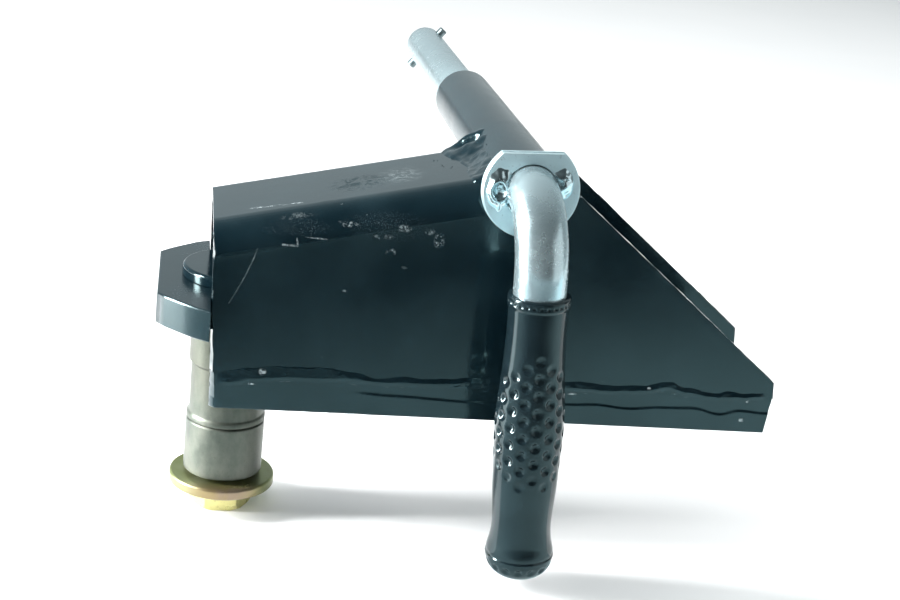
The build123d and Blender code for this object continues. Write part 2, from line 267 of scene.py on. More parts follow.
class Finish:
    """A node material with a few short ways to add noise, masks, mixes and bumps."""

    def __init__(self, name, **constants):
        self.material = bpy.data.materials.new(name)
        self.material.use_nodes = True
        self.tree = self.material.node_tree
        self.shader = next(n for n in self.tree.nodes if n.type == "BSDF_PRINCIPLED")
        for socket, value in constants.items():
            self.shader.inputs[socket.replace("_", " ")].default_value = value
        self.place = self.node("ShaderNodeTexCoord").outputs["Object"]
        self.height = None

    def node(self, kind, **settings):
        """New node with these settings."""
        made = self.tree.nodes.new(kind)
        for key, value in settings.items():
            setattr(made, key, value)
        return made

    def feed(self, socket, value):
        """Link a socket's value, or set a constant."""
        if isinstance(value, bpy.types.NodeSocket):
            self.tree.links.new(value, socket)
        else:
            socket.default_value = value

    def noise(self, scale, detail=3.0, rough=0.55, stretch=(1, 1, 1), twist=0.0):
        """Noise value; scale is features per metre."""
        spread = self.node("ShaderNodeVectorMath", operation="MULTIPLY")
        self.feed(spread.inputs[0], self.place)
        spread.inputs[1].default_value = stretch
        made = self.node("ShaderNodeTexNoise")
        self.feed(made.inputs["Vector"], spread.outputs[0])
        made.inputs["Scale"].default_value = scale
        made.inputs["Detail"].default_value = detail
        made.inputs["Roughness"].default_value = rough
        made.inputs["Distortion"].default_value = twist
        return made.outputs["Fac"]

    def ramp(self, value, low, high, start=0.0, end=1.0):
        """Map value from low..high to start..end, smoothly and clamped."""
        made = self.node("ShaderNodeMapRange", interpolation_type="SMOOTHSTEP")
        for socket, number in zip(list(made.inputs)[:5], (value, low, high, start, end)):
            self.feed(socket, number)
        return made.outputs[0]

    def calc(self, operation, a, b=0.0):
        """One step of arithmetic."""
        made = self.node("ShaderNodeMath", operation=operation)
        self.feed(made.inputs[0], a)
        self.feed(made.inputs[1], b)
        return made.outputs[0]

    def times(self, first, *others):
        """Product of values."""
        for value in others:
            first = self.calc("MULTIPLY", first, value)
        return first

    def mix(self, factor, a, b):
        """Colour from a to b."""
        made = self.node("ShaderNodeMix", data_type="RGBA")
        self.feed(made.inputs["Factor"], factor)
        colours = [s for s in made.inputs if s.type == "RGBA"]
        for socket, value in zip(colours, (a, b)):
            self.feed(socket, value if isinstance(value, bpy.types.NodeSocket) else (*value, 1.0))
        return next(s for s in made.outputs if s.type == "RGBA")

    def axis(self, index):
        """One coordinate, in metres."""
        split = self.node("ShaderNodeSeparateXYZ")
        self.feed(split.inputs[0], self.place)
        return split.outputs[index]

    def edges(self, radius, low=0.03, high=0.25):
        """Mask of the places within radius metres of a sharp edge."""
        rounded = self.node("ShaderNodeBevel", samples=4)
        rounded.inputs["Radius"].default_value = radius
        flat = self.node("ShaderNodeNewGeometry").outputs["Normal"]
        dot = self.node("ShaderNodeVectorMath", operation="DOT_PRODUCT")
        self.feed(dot.inputs[0], rounded.outputs[0])
        self.feed(dot.inputs[1], flat)
        return self.ramp(self.calc("SUBTRACT", 1.0, dot.outputs["Value"]), low, high)

    def patch(self, centre, radii, soft=0.35):
        """Soft ellipsoid mask; centre and radii in millimetres."""
        shifted = self.node("ShaderNodeVectorMath", operation="SUBTRACT")
        self.feed(shifted.inputs[0], self.place)
        shifted.inputs[1].default_value = Vector(centre) * MM
        scaled = self.node("ShaderNodeVectorMath", operation="DIVIDE")
        self.feed(scaled.inputs[0], shifted.outputs[0])
        scaled.inputs[1].default_value = Vector(radii) * MM
        length = self.node("ShaderNodeVectorMath", operation="LENGTH")
        self.feed(length.inputs[0], scaled.outputs[0])
        return self.ramp(length.outputs["Value"], 1.0, 1.0 - soft)

    def streak(self, start, end, width):
        """Mask of a thin line between two points, in millimetres."""
        a, along = Vector(start) * MM, (Vector(end) - Vector(start)) * MM
        offset = self.node("ShaderNodeVectorMath", operation="SUBTRACT")
        self.feed(offset.inputs[0], self.place)
        offset.inputs[1].default_value = a
        dot = self.node("ShaderNodeVectorMath", operation="DOT_PRODUCT")
        self.feed(dot.inputs[0], offset.outputs[0])
        dot.inputs[1].default_value = along / along.length_squared
        held = self.node("ShaderNodeClamp")
        self.feed(held.inputs[0], dot.outputs["Value"])
        step = self.node("ShaderNodeVectorMath", operation="SCALE")
        step.inputs[0].default_value = along
        self.feed(step.inputs["Scale"], held.outputs[0])
        away = self.node("ShaderNodeVectorMath", operation="DISTANCE")
        self.feed(away.inputs[0], offset.outputs[0])
        self.feed(away.inputs[1], step.outputs[0])
        return self.ramp(away.outputs["Value"], width * MM, width * MM * 0.3)

    def bump(self, value, depth, strength=1.0):
        """Add a bump layer; depth in millimetres."""
        made = self.node("ShaderNodeBump")
        made.inputs["Strength"].default_value = strength
        made.inputs["Distance"].default_value = depth * MM
        self.feed(made.inputs["Height"], value)
        if self.height is not None:
            self.feed(made.inputs["Normal"], self.height)
        self.height = made.outputs[0]

    def done(self, colour, roughness, metallic=0.0):
        """Wire the results into the shader and return the material."""
        self.feed(self.shader.inputs["Base Color"], colour)
        self.feed(self.shader.inputs["Roughness"], roughness)
        self.feed(self.shader.inputs["Metallic"], metallic)
        if self.height is not None:
            self.feed(self.shader.inputs["Normal"], self.height)
        return self.material


def black_enamel(name, peel=0.018, wear=0.55, scuffed=False, nicked=False, rough=0.0):
    """Gloss blue-black enamel over steel: orange peel, grime, chips and bare worn edges.

    peel is the depth of the orange peel in millimetres, and rough is added to the gloss's roughness."""
    f = Finish(name, Specular_Tint=(0.68, 0.98, 1.0, 1.0), IOR=1.55)
    cloud = f.noise(34, 4, 0.6)
    fine = f.noise(900, 3, 0.6)
    paint = f.mix(f.ramp(cloud, 0.35, 0.7), (0.0015, 0.0060, 0.0090), (0.0040, 0.0110, 0.0150))
    worn = f.times(f.edges(0.0007), f.ramp(f.noise(260, 4, 0.7), wear, wear + 0.12))
    specks = f.ramp(f.noise(420, 4, 0.75), 0.735, 0.765)
    marks = f.calc("MAXIMUM", worn, f.times(specks, 0.5))
    if nicked:
        broken = f.ramp(f.noise(800, 4, 0.7), 0.44, 0.52)
        for x, z, wide, high in NICKS:
            spot = f.patch((x, -HALF_WIDTH, z), (wide, 3, high), 0.5)
            marks = f.calc("MAXIMUM", marks, f.times(spot, broken, 0.8))
    if scuffed:
        for mask in scuffs(f):
            marks = f.calc("MAXIMUM", marks, mask)
        blotch = f.ramp(f.noise(170, 5, 0.75, twist=1.4), 0.46, 0.56)
        dull = f.times(f.patch((48, -4, 60), (17, 15, 12), 0.6), blotch)
    colour = f.mix(marks, paint, (0.30, 0.35, 0.36))
    dust = f.ramp(f.times(cloud, fine), 0.10, 0.42, 0.085 + rough, 0.19 + rough)
    roughness = f.calc("ADD", dust, f.times(marks, 0.3))
    if scuffed:
        roughness = f.calc("ADD", roughness, f.times(dull, 0.38))
    f.bump(f.noise(30, 2), 0.25, 0.35)
    f.bump(f.noise(520, 2, 0.5), peel, 1.0)
    f.bump(marks, -0.025, 0.6)
    return f.done(colour, roughness, f.times(worn, 0.8))


def scuffs(f):
    """Masks of the scratches and chips of the front wall and web, in the places where this arm has them."""
    front = -HALF_WIDTH
    broken = f.ramp(f.noise(330, 4, 0.75), 0.45, 0.56)
    grain = f.ramp(f.noise(1500, 3, 0.7), 0.42, 0.6)
    torn = f.times(broken, grain)

    # Long faint scratch down the wall, fading: (x, z)
    route = ((7.9, 42.7), (6.6, 37.6), (4.7, 31.5), (2.3, 25.4), (-0.9, 18.4), (-3.4, 13.5))
    for k, ((x0, z0), (x1, z1)) in enumerate(zip(route, route[1:])):
        line = f.streak((x0, front, z0), (x1, front, z1), 0.34)
        yield f.times(line, f.ramp(f.noise(300, 5, 0.75), 0.38, 0.62, 0.05, 0.42 - 0.06 * k))

    # Short hooked scratch: (x, z, width)
    hook = ((16.5, 39.5, 0.6), (22.5, 39.4, 0.5), (21.8, 43.4, 0.4), (33.9, 42.9, 0.3))
    for (x0, z0, wide), (x1, z1, _) in zip(hook, hook[1:]):
        line = f.streak((x0, front + 0.3, z0), (x1, front + 0.3, z1), wide)
        yield f.times(line, f.ramp(grain, 0.2, 0.8, 0.14, 0.55))

    # Scrape on the web, near its front fold
    scrape = f.streak((4.0, -17.5, web_height(4) - 0.1), (24.0, -20.5, web_height(24) - 0.2), 1.3)
    yield f.times(scrape, torn, 0.70)

    # Patches, each a centre and radii; each group has its softness, mask and strength
    powder = f.ramp(f.noise(2600, 2, 0.6), 0.56, 0.68)
    chips = (((79.8, front, 45.6), (2.7, 3, 4.4)), ((75.2, front, 48.8), (3.0, 3, 1.5)),
             ((60.3, front, 39.3), (2.6, 3, 2.2)), ((65.0, front, 49.6), (4.0, 3, 1.8)),
             ((42.0, front + 1, 49.5), (6.0, 5, 1.4)), ((57.0, front, 45.5), (5.0, 3, 1.3)),
             ((43.2, front, 21.5), (1.5, 3, 0.7)), ((66.5, front, 33.0), (1.6, 3, 0.8)))
    haze = (((60, front + 2, 50), (26, 6, 9)), ((20, front + 2, 47), (22, 6, 6)))
    rubbed = (((66, -2, 63), (13, 16, 8)), ((20, -31, 53), (12, 3, 6)))
    for spots, soft, mask, strength in ((chips, 0.6, torn, 0.55), (haze, 0.9, powder, 0.14),
                                        (rubbed, 0.8, torn, 0.30)):
        for centre, radii in spots:
            yield f.times(f.patch(centre, radii, soft), mask, strength)


def cut_steel():
    """Flame-cut edge: bare grey steel with drag lines and torn paint."""
    f = Finish("cut_steel")
    paint = f.ramp(f.noise(330, 4, 0.7), 0.70, 0.78)
    metal = f.mix(f.noise(700, 4), (0.40, 0.54, 0.56), (0.64, 0.80, 0.82))
    f.bump(f.noise(900, 3, 0.6), 0.12, 0.8)
    return f.done(f.mix(paint, metal, (0.02, 0.03, 0.035)), f.ramp(f.noise(500), 0.3, 0.7, 0.40, 0.62),
                  f.calc("SUBTRACT", 0.55, f.times(paint, 0.5)))


def dragged_enamel_painted_light():
    """Enamel over a flame-cut side, with upright drag lines in its bump. Its colour is lighter than the
    other enamel, a painted reflection of the light that the side catches, and darker in grooves and bands
    along the lines, painted shade of the side's facets.
    """
    f = Finish("dragged_enamel_painted_light", Specular_Tint=(0.74, 0.98, 1.0, 1.0), IOR=1.62)
    lines = f.noise(210, 3, 0.6, (1, 1, 0.04))
    fine = f.noise(900, 2, 0.5, (1, 1, 0.05))
    grooves = f.ramp(f.calc("ABSOLUTE", f.calc("SUBTRACT", lines, 0.5)), 0.022, 0.004)
    # Darker grooves and bands along the drag lines: painted shade of the side's facets.
    dark = f.calc("MAXIMUM", grooves, f.ramp(lines, 0.56, 0.62, 0.0, 0.6))
    f.bump(lines, 1.4, 1.0)
    f.bump(grooves, -0.5, 1.0)
    f.bump(fine, 0.06, 0.6)
    # The lighter base colour is a painted reflection. The darker one, where the lines are, is painted shade.
    colour = f.mix(dark, (0.045, 0.072, 0.080), (0.004, 0.010, 0.013))
    return f.done(colour, f.calc("ADD", f.ramp(fine, 0.3, 0.7, 0.20, 0.34), f.times(grooves, 0.35)))


def undercut_painted_shade():
    """Near-black paint with little gloss for the hollow under a bead: painted shade, standing in for the
    shadow and dark reflection there.
    """
    f = Finish("undercut_painted_shade", Specular_IOR_Level=0.12)
    f.bump(f.noise(600, 3), 0.05, 0.6)
    return f.done(f.mix(f.noise(300, 4), (0.002, 0.004, 0.006), (0.006, 0.011, 0.014)),
                  f.ramp(f.noise(400), 0.3, 0.7, 0.45, 0.7))


def zinc(name, bright=1.0, rough=0.2, brushed=(1, 1, 1), metal=1.0):
    """Bright zinc plate: clouding, drawing lines and dull spots, and darker and greyer towards the shaft's
    far end.
    """
    f = Finish(name)
    cloud = f.noise(60, 5, 0.6)
    spots = f.ramp(f.noise(520, 4, 0.7), 0.60, 0.72)
    lines = f.noise(900, 2, 0.5, brushed)
    clean = f.mix(cloud, [c * bright for c in (0.46, 0.63, 0.68)], [c * bright for c in (0.72, 0.88, 0.92)])
    colour = f.mix(f.times(spots, 0.45), clean, (0.24, 0.31, 0.33))
    colour = f.mix(f.ramp(f.axis(1), 0.12, 0.20, 0.0, 0.45), colour, (0.20, 0.26, 0.28))
    f.bump(lines, 0.02, 0.6)
    f.bump(f.noise(300, 3, 0.6), 0.03, 0.5)
    shine = f.ramp(f.calc("ADD", cloud, f.times(spots, 0.5)), 0.3, 1.1, rough, rough + 0.22)
    return f.done(colour, shine, metal)


def turned_steel():
    """Oiled bare steel with fine turning rings round the pivot axis and oil stains, darker towards the top
    as painted shade of the plate above.
    """
    f = Finish("turned_steel")
    rings = f.noise(2600, 2, 0.5, (0.02, 0.02, 1.0))
    stain = f.noise(70, 5, 0.65, (1, 1, 0.6))
    grain = f.noise(650, 4, 0.7)
    base = f.mix(f.ramp(stain, 0.3, 0.7), (0.072, 0.086, 0.072), (0.148, 0.158, 0.134))
    colour = f.mix(f.ramp(grain, 0.55, 0.75, 0, 0.5), base, (0.07, 0.07, 0.05))
    # Darker towards the top, under the plate: painted shade of the plate's shadow.
    shade_under_plate = f.mix(f.ramp(f.axis(2), -0.055, -0.025, 0.0, 0.5), colour, (0.040, 0.042, 0.029))
    f.bump(rings, 0.03, 0.7)
    f.bump(grain, 0.05, 0.5)
    return f.done(shade_under_plate, f.ramp(stain, 0.3, 0.7, 0.40, 0.54), 0.85)


def chromate(name="chromate", under=(0.50, 0.46, 0.18)):
    """Yellow passivated zinc: greenish, pinker towards the front, and another colour below the washer."""
    f = Finish(name)
    drift = f.noise(38, 3, 0.6)
    side = f.ramp(f.axis(1), -0.024, -0.012)
    green = f.mix(f.ramp(drift, 0.4, 0.6), (0.19, 0.22, 0.08), (0.24, 0.26, 0.14))
    pink = f.mix(f.ramp(f.noise(90, 3), 0.4, 0.6), (0.25, 0.19, 0.10), (0.24, 0.18, 0.13))
    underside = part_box("large_washer")[0].z
    low = f.ramp(f.axis(2), underside, underside - 0.001)
    colour = f.mix(low, f.mix(side, pink, green), under)
    dull = f.ramp(f.noise(600, 4, 0.7), 0.55, 0.7)
    f.bump(f.noise(800, 3), 0.03, 0.6)
    return f.done(f.mix(f.times(dull, 0.4), colour, (0.20, 0.17, 0.08)),
                  f.ramp(drift, 0.3, 0.7, 0.26, 0.42), 0.8)


def dark_pin():
    """Oil-blackened hardened pin, rubbed bright at its edges."""
    f = Finish("dark_pin")
    rub = f.times(f.edges(0.0005), f.ramp(f.noise(500, 3), 0.4, 0.6))
    colour = f.mix(rub, f.mix(f.noise(300, 4), (0.10, 0.14, 0.15), (0.20, 0.25, 0.26)), (0.50, 0.56, 0.58))
    f.bump(f.noise(900, 3), 0.03, 0.5)
    return f.done(colour, f.ramp(f.noise(200), 0.3, 0.7, 0.3, 0.5), 0.9)


def grip_plastic():
    """Satin moulded elastomer with a fine mould texture and handling marks."""
    f = Finish("grip_plastic", Specular_Tint=(0.72, 0.98, 1.0, 1.0), IOR=1.5)
    cloud = f.noise(45, 4, 0.6)
    dust = f.ramp(f.noise(1300, 4, 0.75), 0.62, 0.74)
    base = f.mix(f.ramp(cloud, 0.3, 0.7), (0.0030, 0.0065, 0.0085), (0.0060, 0.0115, 0.0140))
    f.bump(f.noise(2400, 2, 0.6), 0.012, 0.8)
    return f.done(f.mix(f.times(dust, 0.12), base, (0.20, 0.24, 0.25)),
                  f.ramp(cloud, 0.3, 0.7, 0.085, 0.12))


ENAMEL = black_enamel("black_enamel", scuffed=True)
PLAIN_ENAMEL = black_enamel("plain_enamel")
WELD = black_enamel("weld_enamel", peel=0.05, wear=0.62, nicked=True)
UNDERCUT_SHADE = undercut_painted_shade()
CUT = cut_steel()
SLEEVE_ENAMEL = black_enamel("sleeve_enamel", peel=0.008, rough=0.06)
STRIP_ENAMEL = black_enamel("strip_enamel", peel=0.03, nicked=True)
DRAGGED_PAINTED_LIGHT = dragged_enamel_painted_light()
PLATE_ENAMEL = black_enamel("plate_enamel", peel=0.03, rough=0.10)
BOLT = chromate("bolt_chromate", (0.62, 0.58, 0.26))
TURNED = turned_steel()
TUBE_ZINC = zinc("tube_zinc", bright=0.88, rough=0.22, brushed=(1, 0.05, 1), metal=0.88)
FLANGE_ZINC = zinc("flange_zinc", bright=0.98, rough=0.34, metal=0.8)
WELD_ZINC = zinc("weld_zinc", rough=0.12)
CHROMATE = chromate()
PIN = dark_pin()
RUBBER = grip_plastic()

# ---------------------------------------------------------------- arm


def near_shaft(p):
    """Whether a point lies in or just outside the sleeve's outline."""
    return math.hypot(p.x - SHAFT_X, p.z - SHAFT_Z) < SLEEVE_R + 1.5


def slant_left(p):
    """Draw the front skin back from the flame-cut left end, so that the cut slants and wanders."""
    reach = 3.0
    skin = -HALF_WIDTH + reach
    if p.x - ARM_LOW.x > reach or p.y > skin:
        return p
    depth = min(1.0, (skin - p.y) / 2.5)
    slant = 0.55 + 0.9 * ease((20 - p.z) / 50)
    slant += 0.45 * wobble(p.z, 3, 1, 7.0) + 0.25 * wobble(p.z, 8, 4, 2.7)
    return p + Vector((slant * depth + 0.35 * wobble(p.z, 2, 9, 17.0) - 0.1, 0, 0))


def arm_channel():
    """Folded channel with ragged bare edges where it was flame-cut."""
    def pick(p):
        return p.z > SEAM_Z + 1 and not near_shaft(p)

    def cut(p, normal):
        front_end = p.y < -HALF_WIDTH + 5 and abs(normal.y) < 0.3
        right_edge = normal.x > 0.3 or (normal.z > 0.9 and p.x > SHAFT_X)
        return front_end and right_edge and not near_shaft(p)

    made = dressed("arm_channel", "arm_channel_sheet", edge=1.15, steps=3, pick=pick, grid=4.0, rough=0.28,
                   cut_face=cut, reshape=slant_left)
    place(made, "arm", "black_enamel", (ENAMEL, CUT), "arm_channel")


def strip_x(z, side, right):
    """Where a foot strip's end lies at height z, with the cut's raggedness."""
    low, high = corners("front_foot_strip" if side < 0 else "rear_foot_strip")
    below = 1 - (z - STRIP_LOW.z) / (STRIP_HIGH.z - STRIP_LOW.z)
    end, inward = (high.x - below, -0.3) if right else (low.x + 0.55 * below, 0.1)
    return end + 0.18 * (wobble(z, side * 9, right * 7, 2.5) + inward)


def foot_strip(side):
    """Strip below the seam, leaning in, with hammered ripples, a wavy step and a ragged bare lower edge."""
    name = "front_foot_strip" if side < 0 else "rear_foot_strip"
    stations, rows = 170, 26
    end_chamfer = 2.6
    wall = HALF_WIDTH - FOOT_LEAN
    rings = []
    for i in range(stations + 1):
        t = max(0.0, (i - 1) / (stations - 1))
        low = STRIP_LOW.z + FOOT_RISE * (1 - t)
        slant = end_chamfer if i == 0 else 0.0
        outer = []
        for k in range(rows + 1):
            f = k / rows
            z = STRIP_HIGH.z - 0.9 - f * (STRIP_HIGH.z - low - 1.4)
            start = strip_x(z, side, False) + (0.0 if i == 0 else 1.6 + 0.8 * f)
            x = start * (1 - t) + strip_x(z, side, True) * t
            lean = FOOT_LEAN * (STRIP_HIGH.z - z) / (STRIP_HIGH.z - STRIP_LOW.z)
            step = 0.50 * ease((between(STEP_LINE, x) - z) / 0.9 + 0.5) * ease((x - 48) / 12)
            ripple = 0.10 * wobble(x, z * 2, side * 5, 14) + 0.05 * wobble(x, z, side * 5, 5)
            outer.append((x, side * (HALF_WIDTH - lean - 0.55 + step + ripple * f - slant), z))
        x = outer[-1][0]
        z = low + 0.12 + 0.20 * abs(wobble(x, 11, side, 3.1))
        edge = [(x, side * (wall - 0.65 - slant), z + 0.1), (x, side * (wall - max(2.0, slant + 1)), z),
                (x, side * (wall - 3.8), z + 0.2)]
        top = [(outer[0][0], side * (HALF_WIDTH - 4.0), STRIP_HIGH.z),
               (outer[0][0], side * (HALF_WIDTH - 0.7 - slant), STRIP_HIGH.z)]
        rings.append(outer + edge + top)
    made = loft(name + "_sheet", rings, sharp=50)
    count = len(rings[0])
    for face in made.data.polygons:
        x = face.center.x / MM
        on_edge = rows <= face.index % count <= rows + 2
        bare_edge = on_edge and x < 75 + 40 * wobble(x, 3, 1, 9)
        face.material_index = 1 if bare_edge or face.index < count else 0
    place(made, "arm", "black_enamel", (STRIP_ENAMEL, CUT), name)


def seam_weld(side):
    """Wandering flat bead along the seam: it rises outward from the wall, then runs back to the strip."""
    name = "front_seam_weld" if side < 0 else "rear_seam_weld"
    low, high = corners(name)
    stations, rows = 380, 18
    rings = []
    for i in range(stations + 1):
        x = low.x + (high.x - low.x) * i / stations
        end = ease(min(i, stations - i) / 6)
        top = between(BEAD_TOP, x) + 0.45 * wobble(x, 0, side * 4, 6) + 0.22 * wobble(x, 5, side * 4, 2.4)
        crest = between(BEAD_CREST, x)
        crest += 0.35 * wobble(x, 8, side * 4, 7) + 0.15 * wobble(x, 1, side * 4, 2.2)
        crest = min(crest, top - 0.5)
        foot = crest - 2.6 - 0.8 * wobble(x, 3, side * 4, 15)
        proud = end * (0.62 + 0.16 * wobble(x, 2, side * 4, 9))
        ring = []
        for k in range(rows + 1):
            f = k / rows
            if f < 0.5:
                z, swell = top + (crest - top) * f * 2, (f * 2) ** 0.75
            else:
                z, swell = crest + (foot - crest) * (f - 0.5) * 2, 1 - 0.8 * ease((f - 0.5) * 2)
            lump = 0.10 * wobble(x, z, side * 4, 1.8) * math.sin(math.pi * f)
            ring.append((x, side * (HALF_WIDTH - 0.12 + (proud + 0.12) * swell + lump), z))
        buried = side * (HALF_WIDTH - 1.2)
        ring += [(x, buried, foot - 0.1), (x, buried, top + 0.1)]
        rings.append(ring)
    made = loft(name + "_bead", rings, sharp=80)
    count = len(rings[0])
    # The bead's upper half, from where it leaves the wall to its crest, takes material 1: near-black painted
    # shade and dark reflection.
    for face in made.data.polygons:
        face.material_index = 1 if face.index % count < rows // 2 else 0
    place(made, "arm", "black_enamel", (WELD, UNDERCUT_SHADE), name)


def web_weld():
    """Heavy hand-laid fillet between web and sleeve, swelling to a lump with a deep hollow near the back."""
    stations, rows = 130, 30
    front, back = -HALF_WIDTH + 5.0, HALF_WIDTH - 7.0
    inside_r = SLEEVE_R - 0.3
    rings = []
    for i in range(stations + 1):
        t = i / stations
        y = front + (back - front) * t
        end = ease(min(i, stations - i) / 12)
        heap = ease((t - 0.58) / 0.25)
        reach = 7.5 + 1.5 * wobble(y, 1, 0, 12) + 0.5 * wobble(y, 6, 0, 5) + 6.0 * heap
        climb = 46 + 7 * wobble(y, 3, 0, 13) + 2 * wobble(y, 8, 0, 5) + 26 * heap
        turn = math.radians(climb * (0.5 + 0.5 * end))
        toe_x = SHAFT_X - SLEEVE_R - reach * (0.35 + 0.65 * end)
        toe = Vector((toe_x, 0, web_height(toe_x) - fold_drop(y) - 0.35))
        tip = Vector((SHAFT_X - inside_r * math.cos(turn), 0, SHAFT_Z + inside_r * math.sin(turn)))
        out = Vector((toe.z - tip.z, 0, tip.x - toe.x)).normalized()
        ring = []
        for k in range(rows + 1):
            f = k / rows
            arch = math.sin(math.pi * f)
            base = toe.lerp(tip, f)
            bulge = (-0.8 + 1.9 * heap) * arch + 0.95 * arch * wobble(base.x * 1.2, y, base.z, 6.0)
            bulge += 0.20 * arch * wobble(base.z, base.x, y, 2.6)
            roll = 0.5 * hump(f, 0.08, 0.07) + 0.4 * hump(f, 0.93, 0.06)
            hollow = 3.4 * hump(t + 0.10 * (f - 0.5), 0.83, 0.045) * hump(f, 0.52, 0.26)
            p = base + out * (bulge + roll - hollow) * end
            ring.append((p.x, y, p.z))
        root_x = SHAFT_X - 12
        ring += [(SHAFT_X - 7, y, SHAFT_Z - 2), (root_x, y, web_height(root_x) - fold_drop(y) - 2.5)]
        rings.append(ring)
    place(loft("web_weld_bead", rings, sharp=85), "arm", "black_enamel", (WELD,), "web_weld")


def rear_sleeve_weld():
    """Rope of weld round the sleeve where it leaves the rear wall."""
    stations, around = 90, 12
    first, last = math.radians(-184), math.radians(8)
    radius, middle = SLEEVE_R + 1.0, HALF_WIDTH + 0.6
    rings = []
    for i in range(stations + 1):
        a = first + (last - first) * i / stations
        grow = ease(min(i, stations - i) / 4)
        size = 2.6 * (0.35 + 0.65 * grow) * (1 + 0.28 * wobble(a * radius, middle, 0, 4.5))
        ring = []
        for k in range(around):
            b = 2 * math.pi * k / around
            r = radius + size * math.cos(b)
            ring.append((SHAFT_X + r * math.cos(a), middle + size * math.sin(b), SHAFT_Z + r * math.sin(a)))
        rings.append(ring)
    place(loft("rear_sleeve_bead", rings, sharp=75), "arm", "black_enamel", (WELD,), "rear_sleeve_weld")


def spatter():
    """Small painted drops of weld spatter beside the joints."""
    shape = bmesh.new()
    drops = 20
    for k in range(drops):
        u, v = wobble(k * 7.3, 1, 0, 3.1), wobble(k * 5.9, 4, 2, 3.7)
        size = 0.22 + 0.30 * abs(wobble(k * 3.1, 8, 5, 2.3))
        if k % 3 == 0:
            spot = Vector((SHAFT_X - 19 + 9 * u, -HALF_WIDTH - 0.05, SHAFT_Z - 17 + 14 * v))
        elif k % 3 == 1:
            x = SHAFT_X - 27 + 9 * u
            spot = Vector((x, 22 * v, web_height(x) + 0.02))
        else:
            turn = math.radians(150 + 30 * u)
            y = HALF_WIDTH - 16 + 30 * v
            spot = Vector((SHAFT_X + SLEEVE_R * math.cos(turn), y, SHAFT_Z + SLEEVE_R * math.sin(turn)))
        drop = bmesh.ops.create_icosphere(shape, subdivisions=2, radius=size * MM)["verts"]
        for vert in drop:
            p = vert.co / MM
            vert.co = (spot + p * (1 + 0.25 * wobble(p.x + k, p.y, p.z, 0.5))) * MM
    data = bpy.data.meshes.new("weld_spatter")
    shape.to_mesh(data)
    shape.free()
    place(finish_mesh("weld_spatter", data, sharp=80), "arm", "black_enamel", (WELD,))


# ---------------------------------------------------------------- crank


def from_crank(p):
    """A point of the crank's own frame, in the row frame."""
    return CRANK @ Vector(p)


def tube_centres():
    """Points down the crank's centre line with their directions, in the crank's own frame."""
    corner = LEG_Y + BEND_R
    end = TUBE_HIGH.y
    forward, down = Vector((0, -1, 0)), Vector((0, 0, -1))
    line = []
    for k in range(STRAIGHT_STEPS + 1):
        line.append((Vector((0, end + (corner - end) * k / STRAIGHT_STEPS, 0)), forward))
    for k in range(1, BEND_STEPS):
        a = math.radians(90 * k / BEND_STEPS)
        line.append((Vector((0, corner - BEND_R * math.sin(a), -BEND_R + BEND_R * math.cos(a))),
                     Vector((0, -math.cos(a), -math.sin(a)))))
    for k in range(LEG_STEPS - 3):         # the last ones would lie deep inside the grip
        line.append((Vector((0, LEG_Y, -BEND_R - (LEG_LENGTH - BEND_R) * k / LEG_STEPS)), down))
    return line


def crank_tube():
    """Bent zinc-plated tube, slightly flattened and creased round the bend, bore open at the far end."""
    sides = 96

    def ring(centre, along, radius, bend=0.0):
        across = Vector((1, 0, 0))
        up = across.cross(along)
        points = []
        for k in range(sides):
            a = 2 * math.pi * k / sides
            inner = max(0.0, -math.sin(a) * up.z if abs(up.z) > abs(up.y) else math.sin(a) * up.y)
            crease = 0.22 * bend * inner * math.sin(centre.z * 1.1)
            flat = -0.35 * bend * max(0.0, math.sin(a) * up.z - math.sin(a) * up.y) ** 4
            r = radius + crease + flat
            points.append(from_crank(centre + across * r * math.cos(a) + up * r * math.sin(a)))
        return points

    line = tube_centres()
    first, along = line[0]
    # The open end, from deep in the bore out over the rounded rim: (distance in from the end, radius)
    rim = ((60.0, TUBE_BORE_R), (0.5, TUBE_BORE_R), (0.0, TUBE_BORE_R + 0.5), (0.0, TUBE_R - 0.7),
           (0.25, TUBE_R - 0.2), (0.8, TUBE_R))
    rings = [ring(first + along * inward, along, radius) for inward, radius in rim]
    for k, (centre, way) in enumerate(line[1:], 1):
        into_bend, left_of_bend = k - STRAIGHT_STEPS + 1, STRAIGHT_STEPS + BEND_STEPS + 1 - k
        rings.append(ring(centre, way, TUBE_R, ease(min(into_bend, left_of_bend) / 8)))
    place(loft("crank_tube_plated", rings, sharp=32), "crank", "bright_zinc", (TUBE_ZINC,), "crank_tube")


def flange_blob(side, centre, size, rise, crater):
    """Weld blob in the corner of tube and flange, with a burst crater this deep."""
    name = "flange_weld_left" if side < 0 else "flange_weld_right"
    rings_out, around = 15, 48
    seat = FLANGE_FRONT + 0.05
    points, faces = [], []
    for i in range(rings_out + 1):
        f = i / rings_out
        for k in range(around):
            a = 2 * math.pi * k / around
            edge = 1 + 0.16 * wobble(math.cos(a) * 3, math.sin(a) * 3, side * 7, 1.3)
            x = centre[0] + size[0] * f * math.cos(a) * edge
            z = centre[1] + size[1] * f * math.sin(a) * edge
            away = math.hypot((x - centre[0] + 0.9) / 2.4, (z - centre[1] + 0.4) / 3.0)
            high = rise * (1 - f ** 2.6) + 0.55 * (1 - f ** 4) * wobble(x, z, side * 3, 2.0)
            high -= crater * hump(away, 0, 1)
            high += 0.55 * crater * hump(away, 1.45, 0.4) * (1 - f ** 3)
            y = seat - max(high, 0.15) if i < rings_out else seat
            points.append(from_crank((x, y, z)))
    for i in range(rings_out):
        for k in range(around):
            a, b = i * around + k, i * around + (k + 1) % around
            faces.append((a, b, b + around, a + around))
    last = rings_out * around
    faces.append(tuple(last + k for k in range(around)))
    made = mesh_object(name + "_blob", points, faces, sharp=70)
    place(made, "crank", "bright_zinc", (WELD_ZINC,), name)


